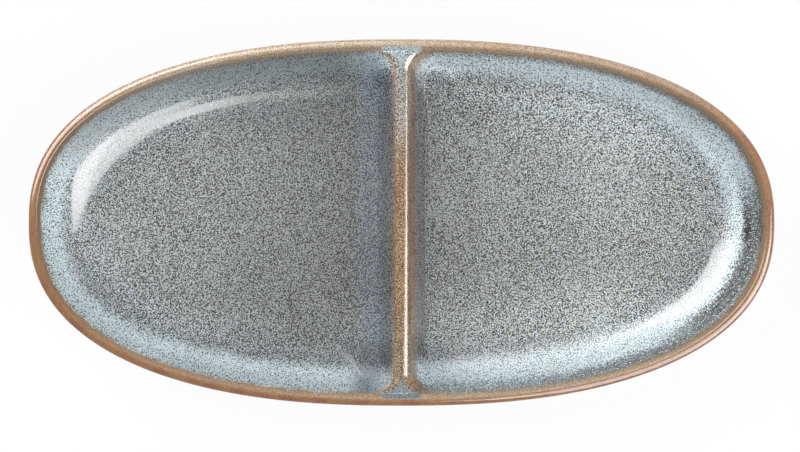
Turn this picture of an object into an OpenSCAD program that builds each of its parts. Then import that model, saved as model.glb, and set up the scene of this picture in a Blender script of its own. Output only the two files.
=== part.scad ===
// Divided oval olive dish in stoneware with a reactive glaze.
// Millimetres, +Z up. The origin is the middle of the plane that the foot stands on.
// X runs along the dish, from the left well to the right one.

/* [Dish] */
// Length over the lip
dish_length = 240; // [210:1:270]
// Width over the lip
dish_width = 118; // [104:1:136]
// Height from the table to the top of the lip
dish_height = 29; // [26:0.5:36]
// Fullness of the oval, where 2 is a plain ellipse
oval_power = 2.37; // [2:0.01:2.8]

/* [Wall] */
// Thickness of the lip over its glaze
lip_thickness = 4.2; // [3:0.1:6]
// Lean of the inside wall from upright, in degrees
wall_draft = 14; // [9:0.5:20]
// Degrees by which the outside is steeper, so that the wall thickens downwards
wall_taper = 2; // [0:0.5:4]
// Radius of the round between the outer wall and a well's floor
well_radius = 14; // [9:0.5:17]
// Thickness of the clay floor
floor_thickness = 4.6; // [3:0.1:7]

/* [Divider] */
// Width of the divider at the brim of the wells
divider_width = 6; // [5:0.5:12]
// Rise of the divider's rounded crest above the brim of the wells
divider_crown = 1.5; // [0.8:0.1:1.5]
// Radius of the round between the divider and a well's floor
divider_round = 3.5; // [2.5:0.5:9]
// Radius of the corner between divider and long wall, at the brim
corner_radius = 6; // [3:0.5:8]
// Growth of that radius for each millimetre further into the well
corner_growth = 0.3; // [0:0.05:0.6]

/* [Foot] */
// Height of the foot ring
foot_height = 2.6; // [1.5:0.1:5]
// Width of the foot ring
foot_width = 5; // [3:0.5:8]
// Distance of the foot ring from the round of the base
foot_margin = 0.6; // [0.2:0.1:3]
// Bevel along the lower edges of the foot ring
foot_bevel = 0.8; // [0.2:0.1:1.2]

/* [Glaze] */
// Thickness of the glaze
glaze_thickness = 0.5; // [0.3:0.05:0.6]
// How far the brown rim band runs down the outside, below the round of the lip
rim_skirt = 3; // [1:0.5:6]
// Height of the bare clay band above the underside
bare_band = 0.9; // [0.4:0.1:4]
// Distance of the base glaze from the foot ring
base_margin = 1; // [0.5:0.1:3]

/* [Hidden] */
half_length = dish_length / 2;
half_width = dish_width / 2;
lip_radius = lip_thickness / 2;
lip_z = dish_height - lip_radius;
outer_draft = wall_draft - wall_taper;

// Heights of the underside and of the floor, bare and glazed
underside_z = foot_height;
clay_floor_z = underside_z + floor_thickness;
floor_z = clay_floor_z + glaze_thickness;

// The brim, where the round of the lip runs into the wall of a well
brim_inset = lip_radius * (1 + cos(wall_draft));
brim_z = lip_z + lip_radius * sin(wall_draft);

// Foot of the straight wall inside a well, measured inwards from the brim
wall_foot_z = floor_z + well_radius * (1 - sin(wall_draft));
wall_foot = (brim_z - wall_foot_z) * tan(wall_draft);

// Centre of the round at the foot of the divider, measured from the brim of the well
divider_foot_z = floor_z + divider_round * (1 - sin(wall_draft));
divider_round_z = floor_z + divider_round;
divider_round_inset = (brim_z - divider_foot_z) * tan(wall_draft) + divider_round * cos(wall_draft);

// Round of the base, between the outside wall and the underside
base_radius = well_radius + floor_thickness;
outer_top = lip_point(180 + outer_draft, glaze_thickness);
outer_run = (outer_top.y - underside_z - base_radius * (1 - sin(outer_draft))) / cos(outer_draft);
base_inset = outer_top.x + outer_run * sin(outer_draft) + base_radius * cos(outer_draft);
glaze_line = asin(1 - bare_band / base_radius);

// Foot ring, measured inwards from the edge of the lip
foot_outer = base_inset + foot_margin;
foot_inner = foot_outer + foot_width;

// How much further the clay lies below the crest of the divider than below the brim
crest_drop = glaze_thickness * (1 - sin(wall_draft));

// Steps along the end wall of a well, round a corner, down a well's round, up the base's round
// and over each half of the lip
wall_steps = 36;
corner_steps = 6;
round_steps = 6;
base_steps = 4;
lip_steps = 3;

// Places across the divider, from its left side to its right side
crest_places = [-1, -0.86, -0.5, 0, 0.5, 0.86, 1];
crest_steps = len(crest_places) - 1;

// Levels of the wells on the glaze and on the clay behind it
glazed_levels = well_levels(0);
clay_levels = well_levels(glaze_thickness);
brim = glazed_levels[0];
clay_brim = clay_levels[0];

clay_colour = [0.76, 0.66, 0.53];
well_colour = [0.60, 0.64, 0.66];
rim_colour = [0.58, 0.40, 0.26];
outside_colour = [0.52, 0.56, 0.60];

// Levels of a well from the brim to the floor, at a depth below the glazed surface
function well_levels(depth) = concat(
    [well_level(0, brim_z, wall_draft, depth)],
    [for (k = [0 : round_steps])
        let (lean = wall_draft + (90 - wall_draft) * k / round_steps)
        well_level(
            wall_foot + well_radius * (cos(wall_draft) - cos(lean)),
            floor_z + well_radius * (1 - sin(lean)),
            lean,
            depth)]);

// One level: inset of the outer wall, height, inset of the divider's side and corner radius
function well_level(inset, z, lean, depth) =
    let (back = depth * cos(lean), height = z - depth * sin(lean))
    [
        inset - back,
        height,
        divider_inset(height, depth),
        corner_radius + corner_growth * inset + back
    ];

// Inset of the divider's side from the brim, at a height and a depth below the glazed surface
function divider_inset(z, depth) =
    let (
        radius = divider_round + depth,
        lean = asin(min(1, max(-1, (divider_round_z - z) / radius))))
    lean > wall_draft
        ? divider_round_inset - radius * cos(lean)
        : (brim_z - z) * tan(wall_draft) - depth / cos(wall_draft);

// Point of the oval at an inset from the edge of the lip, at a turning angle
function oval_point(inset, turn) =
    let (fullness = pow(abs(cos(turn)), oval_power) + pow(abs(sin(turn)), oval_power))
    pow(fullness, -1 / oval_power)
        * [(half_length - inset) * cos(turn), (half_width - inset) * sin(turn)];

// Half the width of that oval at a place along the dish
function oval_y(inset, x) =
    (half_width - inset) * pow(1 - pow(abs(x) / (half_length - inset), oval_power), 1 / oval_power);

// Outward direction of that oval at one of its points in the first quarter
function oval_normal(inset, p) =
    let (
        slope_x = pow(p.x / (half_length - inset), oval_power - 1) / (half_length - inset),
        slope_y = pow(p.y / (half_width - inset), oval_power - 1) / (half_width - inset))
    [slope_x, slope_y] / norm([slope_x, slope_y]);

// Middle of the corner round between the divider and the far wall, at a level
function corner_middle(level) =
    let (x = divider_width / 2 + level[2] + level[3])
    [x, oval_y(brim_inset + level[0] + level[3], x)];

// Turning angle at which the oval wall runs into that corner
function corner_turn(level) =
    let (
        inset = brim_inset + level[0],
        middle = corner_middle(level),
        touch = middle + level[3] * oval_normal(inset + level[3], middle))
    atan2(touch.y / (half_width - inset), touch.x / (half_length - inset));

// Right side of the divider at a level: round the far corner, straight, round the near corner
function divider_side(level) =
    let (
        middle = corner_middle(level),
        start = oval_point(brim_inset + level[0], corner_turn(level)),
        first = atan2(start.y - middle.y, start.x - middle.x),
        far = concat(
            [start],
            [for (k = [1 : corner_steps])
                let (angle = first + (180 - first) * k / corner_steps)
                middle + level[3] * [cos(angle), sin(angle)]]))
    concat(far, [for (k = [corner_steps : -1 : 0]) [far[k].x, -far[k].y]]);

// End wall of the right well, from the near corner round to the far one
function end_wall(inset, turn) =
    [for (k = [0 : wall_steps]) oval_point(inset, turn * (2 * k / wall_steps - 1))];

// Loop round one well at a level
function well_loop(level) =
    let (side = divider_side(level))
    raised(
        concat(
            end_wall(brim_inset + level[0], corner_turn(level)),
            [for (k = [1 : len(side) - 2]) side[k]]),
        level[1]);

// Loop round the whole dish, with the points of both end walls and of the divider's ends
function dish_loop(inset, turn, z) =
    let (
        right = end_wall(inset, turn),
        reach = right[wall_steps].x,
        across = [for (place = crest_places) [place * reach, oval_y(inset, place * reach)]])
    raised(
        concat(
            right,
            [for (k = [crest_steps - 1 : -1 : 1]) across[k]],
            [for (k = [wall_steps : -1 : 0]) [-right[k].x, right[k].y]],
            [for (k = [1 : crest_steps - 1]) [across[k].x, -across[k].y]]),
        z);

// Loops round the outside of the dish, on the clay and on the glaze
function clay_loop(p) = dish_loop(p.x, corner_turn(clay_brim), p.y);
function glaze_loop(p) = dish_loop(p.x, corner_turn(brim), p.y);

// Flat points lifted to one height
function raised(points, z) = [for (p = points) [p.x, p.y, z]];

// Outline of the wall, as inset and height, at a depth below the glazed surface
function lip_point(angle, depth) =
    [lip_radius, lip_z] + (lip_radius - depth) * [cos(angle), sin(angle)];
function skirt_point(depth) =
    lip_point(180 + outer_draft, depth) + rim_skirt * [sin(outer_draft), -cos(outer_draft)];
function base_point(lean, depth) =
    [base_inset, underside_z + base_radius]
        - (base_radius + glaze_thickness - depth) * [cos(lean), sin(lean)];

// Outline of the lip from the outside wall over the top to the brim
function lip_outline(depth) = concat(
    [lip_point(180 + outer_draft, depth)],
    [for (k = [0 : lip_steps]) lip_point(180 - 90 * k / lip_steps, depth)],
    [for (k = [1 : lip_steps]) lip_point(90 - (90 - wall_draft) * k / lip_steps, depth)]);

// Outline of the base round from the glaze line up to the outside wall
function base_outline(depth) =
    [for (k = [0 : base_steps])
        base_point(glaze_line + (outer_draft - glaze_line) * k / base_steps, depth)];

// Share of the crest's height across it, on an arc that rises over half its width
function arc_share(edge_distance, half, rise) =
    let (
        radius = (pow(half, 2) + pow(rise, 2)) / (2 * rise),
        out = max(0, half - edge_distance))
    1 - (radius - sqrt(pow(radius, 2) - pow(out, 2))) / rise;

// Share of the crest's height along it, from where it meets the rim
function ramp_share(rim_distance) = (1 - cos(180 * min(1, max(0, rim_distance) / corner_radius))) / 2;

// Points of the divider at a level, row by row along it, with a crown on its crest
function divider_rows(level, crown, drop) =
    let (side = divider_side(level), last = len(side) - 1)
    [for (j = [0 : last])
        [for (place = crest_places)
            let (
                x = place * side[j].x,
                at_wall = j == 0 || j == last,
                y = at_wall ? sign(side[j].y) * oval_y(brim_inset + level[0], x) : side[j].y,
                ramp = ramp_share(oval_y(brim_inset, x) - abs(y)),
                lift = at_wall ? 0 : crown * ramp - drop,
                edge_distance = (1 - abs(place)) * side[j].x,
                half = divider_width / 2 + level[2])
            [x, y, level[1] + lift * arc_share(edge_distance, half, divider_crown - drop)]]];

// Two triangles over four corners, cut from a to c or else from b to d
function four_corners(a, b, c, d, cut_ac) =
    cut_ac ? [[a, d, c], [a, c, b]] : [[a, d, b], [b, d, c]];

// Solid through a stack of loops, closed by caps or, for a hollow ring, by its first loop
module loop_solid(loops, hollow_ring = false) {
    around = len(loops[0]);
    count = len(loops);
    sides = [
        for (i = [0 : count - (hollow_ring ? 1 : 2)], k = [0 : around - 1])
        let (
            above = (i + 1) % count,
            next = (k + 1) % around,
            falls = loops[i][k].z > loops[above][k].z,
            on_right = loops[i][k].x + loops[i][next].x > 0)
        each four_corners(
            i * around + k, i * around + next, above * around + next, above * around + k,
            falls == on_right)];
    caps = hollow_ring ? [] : [
        [for (k = [0 : around - 1]) k],
        [for (k = [around - 1 : -1 : 0]) (count - 1) * around + k]];
    polyhedron(points = [for (loop = loops) each loop], faces = concat(sides, caps));
}

// Solid inside the six sides of a lattice of points, given as levels of rows
module lattice_solid(levels) {
    floors = len(levels) - 1;
    rows = len(levels[0]) - 1;
    places = len(levels[0][0]) - 1;
    function at(i, j, q) = (i * (rows + 1) + j) * (places + 1) + q;
    top_and_bottom = [
        for (j = [0 : rows - 1], q = [0 : places - 1])
        each concat(
            four_corners(at(0, j, q), at(0, j + 1, q), at(0, j + 1, q + 1), at(0, j, q + 1), true),
            four_corners(
                at(floors, j, q), at(floors, j, q + 1), at(floors, j + 1, q + 1),
                at(floors, j + 1, q), true))];
    long_sides = [
        for (i = [0 : floors - 1], j = [0 : rows - 1])
        each concat(
            four_corners(
                at(i, j, places), at(i, j + 1, places), at(i + 1, j + 1, places),
                at(i + 1, j, places), true),
            four_corners(at(i, j, 0), at(i + 1, j, 0), at(i + 1, j + 1, 0), at(i, j + 1, 0), true))];
    ends = [
        for (i = [0 : floors - 1], q = [0 : places - 1])
        let (on_right = q >= places / 2)
        each concat(
            four_corners(at(i, 0, q), at(i, 0, q + 1), at(i + 1, 0, q + 1), at(i + 1, 0, q), !on_right),
            four_corners(
                at(i, rows, q), at(i + 1, rows, q), at(i + 1, rows, q + 1), at(i, rows, q + 1),
                on_right))];
    polyhedron(
        points = [for (level = levels) for (row = level) each row],
        faces = concat(top_and_bottom, long_sides, ends));
}

// Bowl of clay: underside, outside wall, lip, inside wall and floor
module stoneware_shell() {
    bare_part = [for (lean = [90, (90 + glaze_line) / 2]) base_point(lean, glaze_thickness)];
    outside = concat(bare_part, base_outline(glaze_thickness), lip_outline(glaze_thickness));
    inside = [for (k = [1 : len(clay_levels) - 1]) clay_levels[k]];
    color(clay_colour)
    loop_solid(concat(
        [for (p = outside) clay_loop(p)],
        [for (level = inside) dish_loop(brim_inset + level[0], corner_turn(level), level[1])]));
}

// Clay partition that stands on the floor and runs into both long walls
module divider_wall() {
    below = [for (k = [1 : len(clay_levels) - 1]) divider_rows(clay_levels[k], 0, 0)];
    color(clay_colour)
    lattice_solid(concat([divider_rows(clay_brim, divider_crown, crest_drop)], below));
}

// Bare ring of clay, ground flat where it stands on the table
module foot_ring() {
    outline = [
        [foot_outer, underside_z],
        [foot_outer, foot_bevel],
        [foot_outer + 2 * foot_bevel, -foot_bevel],
        [foot_inner - 2 * foot_bevel, -foot_bevel],
        [foot_inner, foot_bevel],
        [foot_inner, underside_z]];
    color(clay_colour)
    difference() {
        loop_solid([for (k = [len(outline) - 1 : -1 : 0]) clay_loop(outline[k])], hollow_ring = true);
        translate([-half_length, -half_width, -dish_height])
            cube([dish_length, dish_width, dish_height]);
    }
}

// Coat of glaze that lines one well, up to the brim
module well_glaze() {
    deepest = len(clay_levels) - 1;
    loop_solid(concat(
        [for (k = [deepest : -1 : 0]) well_loop(clay_levels[k])],
        [for (level = glazed_levels) well_loop(level)]));
}

// Lining of the left well
module left_well_glaze() {
    color(well_colour)
    mirror([1, 0, 0])
        well_glaze();
}

// Lining of the right well
module right_well_glaze() {
    color(well_colour)
    well_glaze();
}

// Coat over the lip, from the brim to the skirt outside
module rim_glaze() {
    front = concat([skirt_point(0)], lip_outline(0));
    back = concat([skirt_point(glaze_thickness)], lip_outline(glaze_thickness));
    color(rim_colour)
    loop_solid(
        concat(
            [for (p = front) glaze_loop(p)],
            [for (k = [len(back) - 1 : -1 : 0]) clay_loop(back[k])]),
        hollow_ring = true);
}

// Coat over the crest of the divider, flared where it meets the rim
module divider_glaze() {
    color(rim_colour)
    lattice_solid([
        divider_rows(brim, divider_crown, 0),
        divider_rows(clay_brim, divider_crown, crest_drop)]);
}

// Coat on the outside wall, from the glaze line up to the rim band
module outside_glaze() {
    front = concat(base_outline(0), [skirt_point(0)]);
    back = concat(base_outline(glaze_thickness), [skirt_point(glaze_thickness)]);
    color(outside_colour)
    loop_solid(
        concat(
            [for (p = front) glaze_loop(p)],
            [for (k = [len(back) - 1 : -1 : 0]) clay_loop(back[k])]),
        hollow_ring = true);
}

// Coat on the underside, within the foot ring
module base_glaze() {
    inset = foot_inner + base_margin;
    color(outside_colour)
    loop_solid([for (z = [underside_z - glaze_thickness, underside_z]) clay_loop([inset, z])]);
}

stoneware_shell();
divider_wall();
foot_ring();
left_well_glaze();
right_well_glaze();
rim_glaze();
divider_glaze();
outside_glaze();
base_glaze();
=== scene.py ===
"""Looks of a divided oval olive dish in stoneware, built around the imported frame."""

import math

import bpy
import numpy as np
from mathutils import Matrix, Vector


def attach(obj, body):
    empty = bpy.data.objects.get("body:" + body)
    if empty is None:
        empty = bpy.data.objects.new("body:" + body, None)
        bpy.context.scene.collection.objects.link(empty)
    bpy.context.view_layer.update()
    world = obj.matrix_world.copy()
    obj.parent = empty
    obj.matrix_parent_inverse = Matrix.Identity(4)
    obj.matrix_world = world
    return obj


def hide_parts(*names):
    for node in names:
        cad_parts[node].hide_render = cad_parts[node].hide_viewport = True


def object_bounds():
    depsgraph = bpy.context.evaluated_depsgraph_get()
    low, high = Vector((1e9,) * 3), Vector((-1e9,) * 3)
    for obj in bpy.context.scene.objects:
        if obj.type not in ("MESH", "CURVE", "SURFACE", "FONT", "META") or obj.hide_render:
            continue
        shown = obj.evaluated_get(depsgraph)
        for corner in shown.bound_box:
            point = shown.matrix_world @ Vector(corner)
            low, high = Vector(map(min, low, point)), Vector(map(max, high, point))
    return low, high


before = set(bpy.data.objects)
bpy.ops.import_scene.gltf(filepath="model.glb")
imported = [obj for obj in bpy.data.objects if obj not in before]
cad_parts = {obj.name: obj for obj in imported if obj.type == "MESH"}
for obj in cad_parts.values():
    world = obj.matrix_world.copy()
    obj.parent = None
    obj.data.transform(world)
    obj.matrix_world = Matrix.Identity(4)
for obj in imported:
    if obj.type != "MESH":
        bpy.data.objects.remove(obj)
CAD_LOW, CAD_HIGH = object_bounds()

# A millimetre in metres, and the sizes in millimetres, as in the part's source
MM = 0.001
HALF_LENGTH = (CAD_HIGH.x - CAD_LOW.x) / 2 / MM
HALF_WIDTH = (CAD_HIGH.y - CAD_LOW.y) / 2 / MM
DISH_HEIGHT = (CAD_HIGH.z - CAD_LOW.z) / MM
OVAL_POWER = 2.37
LIP_RADIUS = 2.1
WALL_DRAFT = math.radians(14)
OUTER_DRAFT = math.radians(12)
WELL_RADIUS = 14
FLOOR_THICKNESS = 4.6
DIVIDER_HALF = 3
DIVIDER_CROWN = 1.5
DIVIDER_ROUND = 3.5
CORNER_RADIUS = 6
CORNER_GROWTH = 0.3
FOOT_HEIGHT = 2.6
FOOT_WIDTH = 5
FOOT_MARGIN = 0.6
FOOT_BEVEL = 0.8
GLAZE = 0.5
RIM_SKIRT = 3
BARE_BAND = 0.9
BASE_MARGIN = 1

# How far the patches at the ends of the crest run up the lip, and how fast they end there
PATCH_RUN = 2.3
PATCH_FALL = 20.0

# The glaze on the lip: round outside, a narrow flat on top, a small round and a bevel down to the brim
LIP_OUTER_ROUND = 1.85
LIP_INNER_ROUND = 0.4
LIP_BEVEL = math.radians(46)
LIP_INNER_STEPS = 6

# Beside the divider the rounds turn from floor to wall in a narrow band: the distances from the middle
# where it ends and up to which it is full, how narrow it is and how far up the round it lies
TIGHT_END = 24
TIGHT_FULL = 16
ROUND_POWER = 40
ROUND_LIFT = 2.2

# Directions in degrees that those rounds face in each well: where the band starts, is full, is full up
# to, and ends
TIGHT_RIGHT = (-95, -89, 8, 30)
TIGHT_LEFT = (92, 102, 190, 200)

# Fall of the normals' upward part within one face, from which it is shaded as its flatter side
CREASE_TURN = 0.3

# At the near end of the crest its left flare lies flat, from and fully from this far from the middle
FLARE_START = 44
FLARE_END = 50

# Sizes that follow from those
LIP_Z = DISH_HEIGHT - LIP_RADIUS
CLAY_FLOOR_Z = FOOT_HEIGHT + FLOOR_THICKNESS
FLOOR_Z = CLAY_FLOOR_Z + GLAZE
BRIM_INSET = LIP_RADIUS * (1 + math.cos(WALL_DRAFT))
BRIM_Z = LIP_Z + LIP_RADIUS * math.sin(WALL_DRAFT)
WALL_FOOT_Z = FLOOR_Z + WELL_RADIUS * (1 - math.sin(WALL_DRAFT))
WALL_FOOT = (BRIM_Z - WALL_FOOT_Z) * math.tan(WALL_DRAFT)
DIVIDER_FOOT_Z = FLOOR_Z + DIVIDER_ROUND * (1 - math.sin(WALL_DRAFT))
DIVIDER_ROUND_Z = FLOOR_Z + DIVIDER_ROUND
DIVIDER_FOOT = (BRIM_Z - DIVIDER_FOOT_Z) * math.tan(WALL_DRAFT)
DIVIDER_ROUND_INSET = DIVIDER_FOOT + DIVIDER_ROUND * math.cos(WALL_DRAFT)
BASE_RADIUS = WELL_RADIUS + FLOOR_THICKNESS
CREST_DROP = GLAZE * (1 - math.sin(WALL_DRAFT))
GLAZE_LINE = math.asin(1 - BARE_BAND / BASE_RADIUS)

# Steps of the meshes
WALL_STEPS = 192
CORNER_STEPS = 16
STRAIGHT_STEPS = 44
DRAFT_STEPS = 8
ROUND_STEPS = 26
LIP_STEPS = 14
BASE_STEPS = 18
BARE_STEPS = 5
FLOOR_RINGS = 14
CREST_STEPS = 26

# Limits that keep a share off 0 and 1, and a length off 0
SHARE_LIMITS = (0.001, 0.999)
LEAST_LENGTH = 1e-9

# Halvings that find an oval, points a millimetre that are told apart at a seam, and the angle in
# radians from which an edge of the clay shows sharp
HALVINGS = 40
SEAM_GRID = 2000
CRISP_ANGLE = math.radians(30)

# The photograph's width and the dish's middle in it in pixels, the camera's height over the lip in
# metres and its sensor in millimetres
IMAGE_WIDTH = 800
MM_PER_PIXEL = 0.3219
DISH_MIDDLE_PX = (1.5, 3.5)
CAMERA_DISTANCE = 1.2
SENSOR_WIDTH = 36

# Half the floor's length in metres, its colour, its share of plain white, and the even light's level
FLOOR_REACH = 6.0
FLOOR_COLOUR = (0.9, 0.9, 0.9, 1)
FLOOR_WHITE = 0.9
WORLD_LEVEL = 0.35

# Lamps that light the colours alone and lamps that show in gloss alone: distances in metres, the plain
# level, and the sides that they lean over the dish from, with the lean, in degrees
PLAIN_LAMP = 0.90
GLOSS_LAMP = 2.2
PLAIN_LEVEL = 2.8
FROM_LEFT = (180, 45)
FROM_FRONT = (-80, 38)
FROM_BACK = (90, 45)

# Name, side and lean, distance, reach across and along in metres, level, and whether it is for gloss
LAMPS = [
    ("left_softbox", *FROM_LEFT, PLAIN_LAMP, (-0.50, 0.50), (-1.20, -0.06), PLAIN_LEVEL, False),
    ("front_softbox", *FROM_FRONT, PLAIN_LAMP, (-0.46, 0.46), (0.03, 1.30), PLAIN_LEVEL, False),
    ("left_gloss", *FROM_LEFT, GLOSS_LAMP, (-1.25, 1.15), (-3.25, -0.25), 12.5, True),
    ("front_gloss", *FROM_FRONT, GLOSS_LAMP, (-1.25, 1.70), (0.08, 0.90), 9, True),
    ("right_gloss", *FROM_FRONT, GLOSS_LAMP, (-1.25, 1.75), (0.90, 3.60), 13, True),
    ("back_gloss", *FROM_BACK, GLOSS_LAMP, (-0.90, 1.25), (0.04, 0.62), 4.0, True),
    ("front_tail", *FROM_FRONT, GLOSS_LAMP, (-0.40, 0.47), (-0.12, 0.08), 13, True),
]


def oval_point(inset, turn):
    """Points of the oval at an inset from the lip's edge, at turning angles."""
    c, s = np.cos(turn), np.sin(turn)
    k = (np.abs(c) ** OVAL_POWER + np.abs(s) ** OVAL_POWER) ** (-1 / OVAL_POWER)
    return np.stack([(HALF_LENGTH - inset) * k * c, (HALF_WIDTH - inset) * k * s], -1)


def oval_y(inset, x):
    """Half the width of that oval at places along the dish."""
    share = np.clip(1 - (np.abs(x) / (HALF_LENGTH - inset)) ** OVAL_POWER, 0, 1)
    return (HALF_WIDTH - inset) * share ** (1 / OVAL_POWER)


def oval_normal(inset, p):
    """Outward direction of that oval at a point in the first quarter."""
    size = np.array([HALF_LENGTH - inset, HALF_WIDTH - inset])
    slope = (p / size) ** (OVAL_POWER - 1) / size
    return slope / np.linalg.norm(slope)


def oval_inset(x, y):
    """Inset of the oval that passes through each point, by halving."""
    low = np.full(np.shape(x), -1.0)
    high = np.full(np.shape(x), HALF_WIDTH - 0.01)
    for _ in range(HALVINGS):
        mid = (low + high) / 2
        along = (np.abs(x) / (HALF_LENGTH - mid)) ** OVAL_POWER
        across = (np.abs(y) / (HALF_WIDTH - mid)) ** OVAL_POWER
        inside = along + across < 1
        low = np.where(inside, mid, low)
        high = np.where(inside, high, mid)
    return (low + high) / 2


def divider_inset(z, depth):
    """Inset of the divider's side from the brim, at a height and a depth below the glaze."""
    radius = DIVIDER_ROUND + depth
    lean = math.asin(min(1, max(-1, (DIVIDER_ROUND_Z - z) / radius)))
    if lean > WALL_DRAFT:
        return DIVIDER_ROUND_INSET - radius * math.cos(lean)
    return (BRIM_Z - z) * math.tan(WALL_DRAFT) - depth / math.cos(WALL_DRAFT)


def well_level(inset, z, lean, depth):
    """One level of a well: wall inset, height, inset of the divider's side, corner radius."""
    back = depth * math.cos(lean)
    height = z - depth * math.sin(lean)
    corner = CORNER_RADIUS + CORNER_GROWTH * inset + back
    return (inset - back, height, divider_inset(height, depth), corner)


def well_levels(depth):
    """Levels of a well from the brim down the wall and round to the floor."""
    levels = []
    for k in range(DRAFT_STEPS):
        share = k / DRAFT_STEPS
        z = BRIM_Z + (WALL_FOOT_Z - BRIM_Z) * share
        levels.append(well_level(WALL_FOOT * share, z, WALL_DRAFT, depth))
    for k in range(ROUND_STEPS + 1):
        lean = WALL_DRAFT + (math.pi / 2 - WALL_DRAFT) * k / ROUND_STEPS
        inset = WALL_FOOT + WELL_RADIUS * (math.cos(WALL_DRAFT) - math.cos(lean))
        levels.append(well_level(inset, FLOOR_Z + WELL_RADIUS * (1 - math.sin(lean)), lean, depth))
    return levels


def corner_middle(level):
    """Middle of the corner round between the divider and the far wall."""
    inset, _, side, corner = level
    x = DIVIDER_HALF + side + corner
    return np.array([x, oval_y(BRIM_INSET + inset + corner, x)])


def corner_turn(level):
    """Turning angle at which the oval wall runs into that corner."""
    inset = BRIM_INSET + level[0]
    middle = corner_middle(level)
    touch = middle + level[3] * oval_normal(inset + level[3], middle)
    return math.atan2(touch[1] / (HALF_WIDTH - inset), touch[0] / (HALF_LENGTH - inset))


def divider_side(level):
    """Right side of the divider: round the far corner, straight, round the near corner."""
    middle = corner_middle(level)
    start = oval_point(BRIM_INSET + level[0], np.array([corner_turn(level)]))
    first = math.atan2(start[0, 1] - middle[1], start[0, 0] - middle[0])
    angles = first + (math.pi - first) * np.arange(1, CORNER_STEPS + 1) / CORNER_STEPS
    arc = middle + level[3] * np.stack([np.cos(angles), np.sin(angles)], -1)
    far = np.concatenate([start, arc])
    between = np.linspace(far[-1], far[-1] * [1, -1], STRAIGHT_STEPS + 1)[1:-1]
    return np.concatenate([far, between, far[::-1] * [1, -1]])


def end_wall(inset, turn):
    """End wall of the right well, from the near corner round to the far one."""
    return oval_point(inset, turn * np.linspace(-1, 1, WALL_STEPS + 1))


def raised(points, z):
    """Flat points lifted to a height, or to one height each."""
    return np.column_stack([points, np.broadcast_to(z, len(points))])


def well_loop(level):
    """Loop round the right well at a level."""
    side = divider_side(level)
    wall = end_wall(BRIM_INSET + level[0], corner_turn(level))
    return raised(np.concatenate([wall, side[1:-1]]), level[1])


CREST_PLACES = np.sin(np.linspace(-math.pi / 2, math.pi / 2, CREST_STEPS + 1))
BRIM = well_level(0, BRIM_Z, WALL_DRAFT, 0)
CLAY_BRIM = well_level(0, BRIM_Z, WALL_DRAFT, GLAZE)


def dish_loop(inset, turn, z):
    """Loop round the whole dish, with the points of both end walls and of the divider's ends."""
    right = end_wall(inset, turn)
    across = CREST_PLACES[1:-1] * right[-1, 0]
    far = np.column_stack([across[::-1], oval_y(inset, across[::-1])])
    near = np.column_stack([across, -oval_y(inset, across)])
    return raised(np.concatenate([right, far, right[::-1] * [-1, 1], near]), z)


def clay_loop(p):
    """Loop round the outside of the dish, on the clay, at an inset and height."""
    return dish_loop(p[0], corner_turn(CLAY_BRIM), p[1])


def glaze_loop(p):
    """Loop round the outside of the dish, on the glaze, at an inset and height."""
    return dish_loop(p[0], corner_turn(BRIM), p[1])


def lip_point(angle, depth):
    """Point of the lip's outline, as inset and height, at a depth below the glaze."""
    reach = LIP_RADIUS - depth
    return np.array([LIP_RADIUS + reach * math.cos(angle), LIP_Z + reach * math.sin(angle)])


def skirt_point(depth):
    """Lower end of the brown band on the outside."""
    along = np.array([math.sin(OUTER_DRAFT), -math.cos(OUTER_DRAFT)])
    return lip_point(math.pi + OUTER_DRAFT, depth) + RIM_SKIRT * along


OUTER_TOP = lip_point(math.pi + OUTER_DRAFT, GLAZE)
OUTER_RUN = (OUTER_TOP[1] - FOOT_HEIGHT - BASE_RADIUS * (1 - math.sin(OUTER_DRAFT))) / math.cos(OUTER_DRAFT)
BASE_INSET = OUTER_TOP[0] + OUTER_RUN * math.sin(OUTER_DRAFT) + BASE_RADIUS * math.cos(OUTER_DRAFT)
FOOT_OUTER = BASE_INSET + FOOT_MARGIN
FOOT_INNER = FOOT_OUTER + FOOT_WIDTH


def base_point(lean, depth):
    """Point of the round between the underside and the outside wall."""
    reach = BASE_RADIUS + GLAZE - depth
    middle = np.array([BASE_INSET, FOOT_HEIGHT + BASE_RADIUS])
    return middle - reach * np.array([math.cos(lean), math.sin(lean)])


def lip_outline(depth):
    """Outline of the lip from the outside wall over the top to the brim, as a plain round."""
    angles = np.concatenate([
        [math.pi + OUTER_DRAFT],
        np.linspace(math.pi, math.pi / 2, LIP_STEPS + 1),
        np.linspace(math.pi / 2, WALL_DRAFT, LIP_STEPS + 1)[1:],
    ])
    return [lip_point(angle, depth) for angle in angles]


def round_points(inset, radius, angles):
    """Points on a round that touches the top of the dish, with its middle at an inset."""
    middle = np.array([inset, DISH_HEIGHT - radius])
    return [middle + radius * np.array([math.cos(a), math.sin(a)]) for a in angles]


def bevelled_outline():
    """The lip's outline as its glaze shows it, with as many points as the plain round has."""
    brim = lip_point(WALL_DRAFT, 0)
    turn = np.linspace(math.pi / 2, math.pi / 2 - LIP_BEVEL, LIP_INNER_STEPS)
    drop = DISH_HEIGHT - LIP_INNER_ROUND * (1 - math.cos(LIP_BEVEL)) - brim[1]
    inset = brim[0] - LIP_INNER_ROUND * math.sin(LIP_BEVEL) - drop / math.tan(LIP_BEVEL)
    rise = np.linspace(math.pi, math.pi / 2, LIP_STEPS + 1)
    outer = round_points(LIP_OUTER_ROUND, LIP_OUTER_ROUND, rise)
    inner = round_points(inset, LIP_INNER_ROUND, turn)
    bevel = list(np.linspace(inner[-1], brim, LIP_STEPS - LIP_INNER_STEPS + 1)[1:])
    return [lip_point(math.pi + OUTER_DRAFT, 0)] + outer + inner + bevel


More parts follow.
